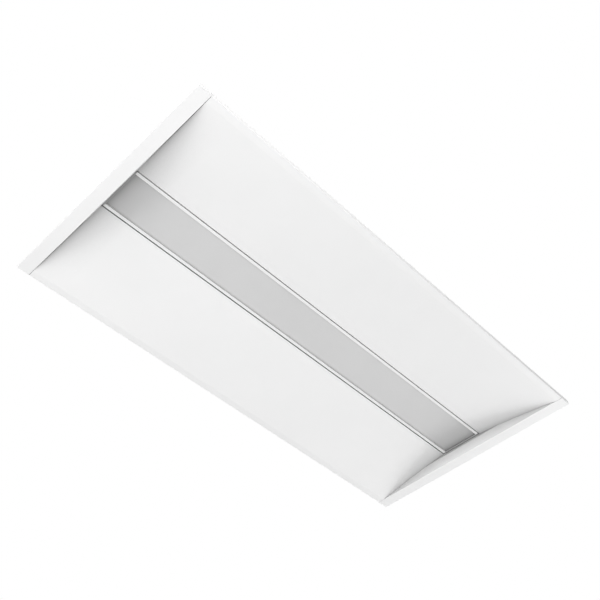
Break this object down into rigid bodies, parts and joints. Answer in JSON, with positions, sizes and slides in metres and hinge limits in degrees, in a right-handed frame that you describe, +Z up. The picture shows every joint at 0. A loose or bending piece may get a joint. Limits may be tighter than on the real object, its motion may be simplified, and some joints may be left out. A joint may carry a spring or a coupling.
{
  "type": "recessed troffer light",
  "caption": "Lay-in recessed troffer for a 2 by 4 ft ceiling grid, with two bowed white reflectors, a flush central lens in a hinged door, swing-out grid clips and a closed steel back.",
  "frame": {"origin": "centre of the flat face that rests on the ceiling grid", "axes": "+X along the fixture, +Y across it towards the lens door's hinge, +Z up into the ceiling"},
  "size_m": [1.2128, 0.6032, 0.0883],
  "materials": {
    "white_enamel": "matt white powder coat",
    "rail_enamel": "matt white powder coat",
    "galvanised_steel": "bright spangled zinc",
    "spring_steel": "plain tempered strip",
    "zinc_fasteners": "bright zinc",
    "aluminium_rivets": "satin",
    "green_screw": "green dyed zinc",
    "frosted_acrylic": "frosted, unlit",
    "end_cap_grey": "satin grey moulding",
    "board_white": "white solder mask",
    "led_phosphor": "yellow phosphor",
    "connector_plastic": "moulded white",
    "terminal_plastic": "moulded light grey",
    "driver_enamel": "light grey enamel",
    "nylon": "natural nylon",
    "black_rubber": "moulded",
    "magnet_ferrite": "dark ferrite",
    "insulation_black": "smooth wire insulation",
    "insulation_white": "smooth wire insulation",
    "insulation_green": "smooth wire insulation",
    "insulation_red": "smooth wire insulation",
    "insulation_blue": "smooth wire insulation"
  },
  "bodies": {
    "housing": {"access_rivet": "aluminium_rivets", "access_screw": "zinc_fasteners", "board_connector": "connector_plastic", "board_link": "connector_plastic", "board_screws": "zinc_fasteners", "catch_brackets": "galvanised_steel", "catch_magnets": "magnet_ferrite", "catch_rivets": "aluminium_rivets", "clip_brackets": "galvanised_steel", "clip_rivets": "aluminium_rivets", "corner_brackets": "galvanised_steel", "driver_base": "driver_enamel", "driver_case": "driver_enamel", "driver_screws": "zinc_fasteners", "end_plate_left": "white_enamel", "end_plate_right": "white_enamel", "end_plate_screws": "zinc_fasteners", "ground_screw": "green_screw", "hanger_screws": "zinc_fasteners", "hinge_bushes": "nylon", "housing_pan": "galvanised_steel", "knockout_slugs": "galvanised_steel", "lead_grommet": "black_rubber", "lead_ground": "insulation_green", "lead_led_minus": "insulation_blue", "lead_led_plus": "insulation_red", "lead_line": "insulation_black", "lead_neutral": "insulation_white", "led_board_left": "board_white", "led_board_right": "board_white", "led_chips_left": "led_phosphor", "led_chips_right": "led_phosphor", "led_tray": "galvanised_steel", "reflector_far": "white_enamel", "reflector_near": "white_enamel", "reflector_rivets": "aluminium_rivets", "terminal_block": "terminal_plastic", "tray_hanger_1": "galvanised_steel", "tray_hanger_2": "galvanised_steel", "tray_hanger_3": "galvanised_steel", "tray_screws": "zinc_fasteners"},
    "lens_door": {"door_rail_near": "rail_enamel", "door_rail_far": "rail_enamel", "door_end_rail_left": "end_cap_grey", "door_end_rail_right": "end_cap_grey", "lens": "frosted_acrylic", "lens_retainers": "spring_steel", "hinge_pins": "zinc_fasteners"},
    "access_cover": {"access_plate": "galvanised_steel"},
    "clip_1": {"grid_clip_1": "spring_steel"},
    "clip_2": {"grid_clip_2": "spring_steel"},
    "clip_3": {"grid_clip_3": "spring_steel"},
    "clip_4": {"grid_clip_4": "spring_steel"}
  },
  "joints": [
    {"name": "lens_door_hinge", "type": "hinge", "parent": "housing", "child": "lens_door", "pos_m": [0, 0.0539, 0.0285], "axis": [1, 0, 0], "range_deg": [0, 90]},
    {"name": "access_cover_pivot", "type": "hinge", "parent": "housing", "child": "access_cover", "pos_m": [-0.44978, 0.10295, 0.0837], "axis": [0, 0, 1], "range_deg": [0, 90]},
    {"name": "clip_1_pivot", "type": "hinge", "parent": "housing", "child": "clip_1", "pos_m": [0.57958, 0.19, 0.0429], "axis": [0, 0, 1], "range_deg": [0, 90]},
    {"name": "clip_2_pivot", "type": "hinge", "parent": "housing", "child": "clip_2", "pos_m": [-0.57958, 0.19, 0.0429], "axis": [0, 0, -1], "range_deg": [0, 90]},
    {"name": "clip_3_pivot", "type": "hinge", "parent": "housing", "child": "clip_3", "pos_m": [-0.57958, -0.19, 0.0429], "axis": [0, 0, 1], "range_deg": [0, 90]},
    {"name": "clip_4_pivot", "type": "hinge", "parent": "housing", "child": "clip_4", "pos_m": [0.57958, -0.19, 0.0429], "axis": [0, 0, -1], "range_deg": [0, 90]}
  ]
}
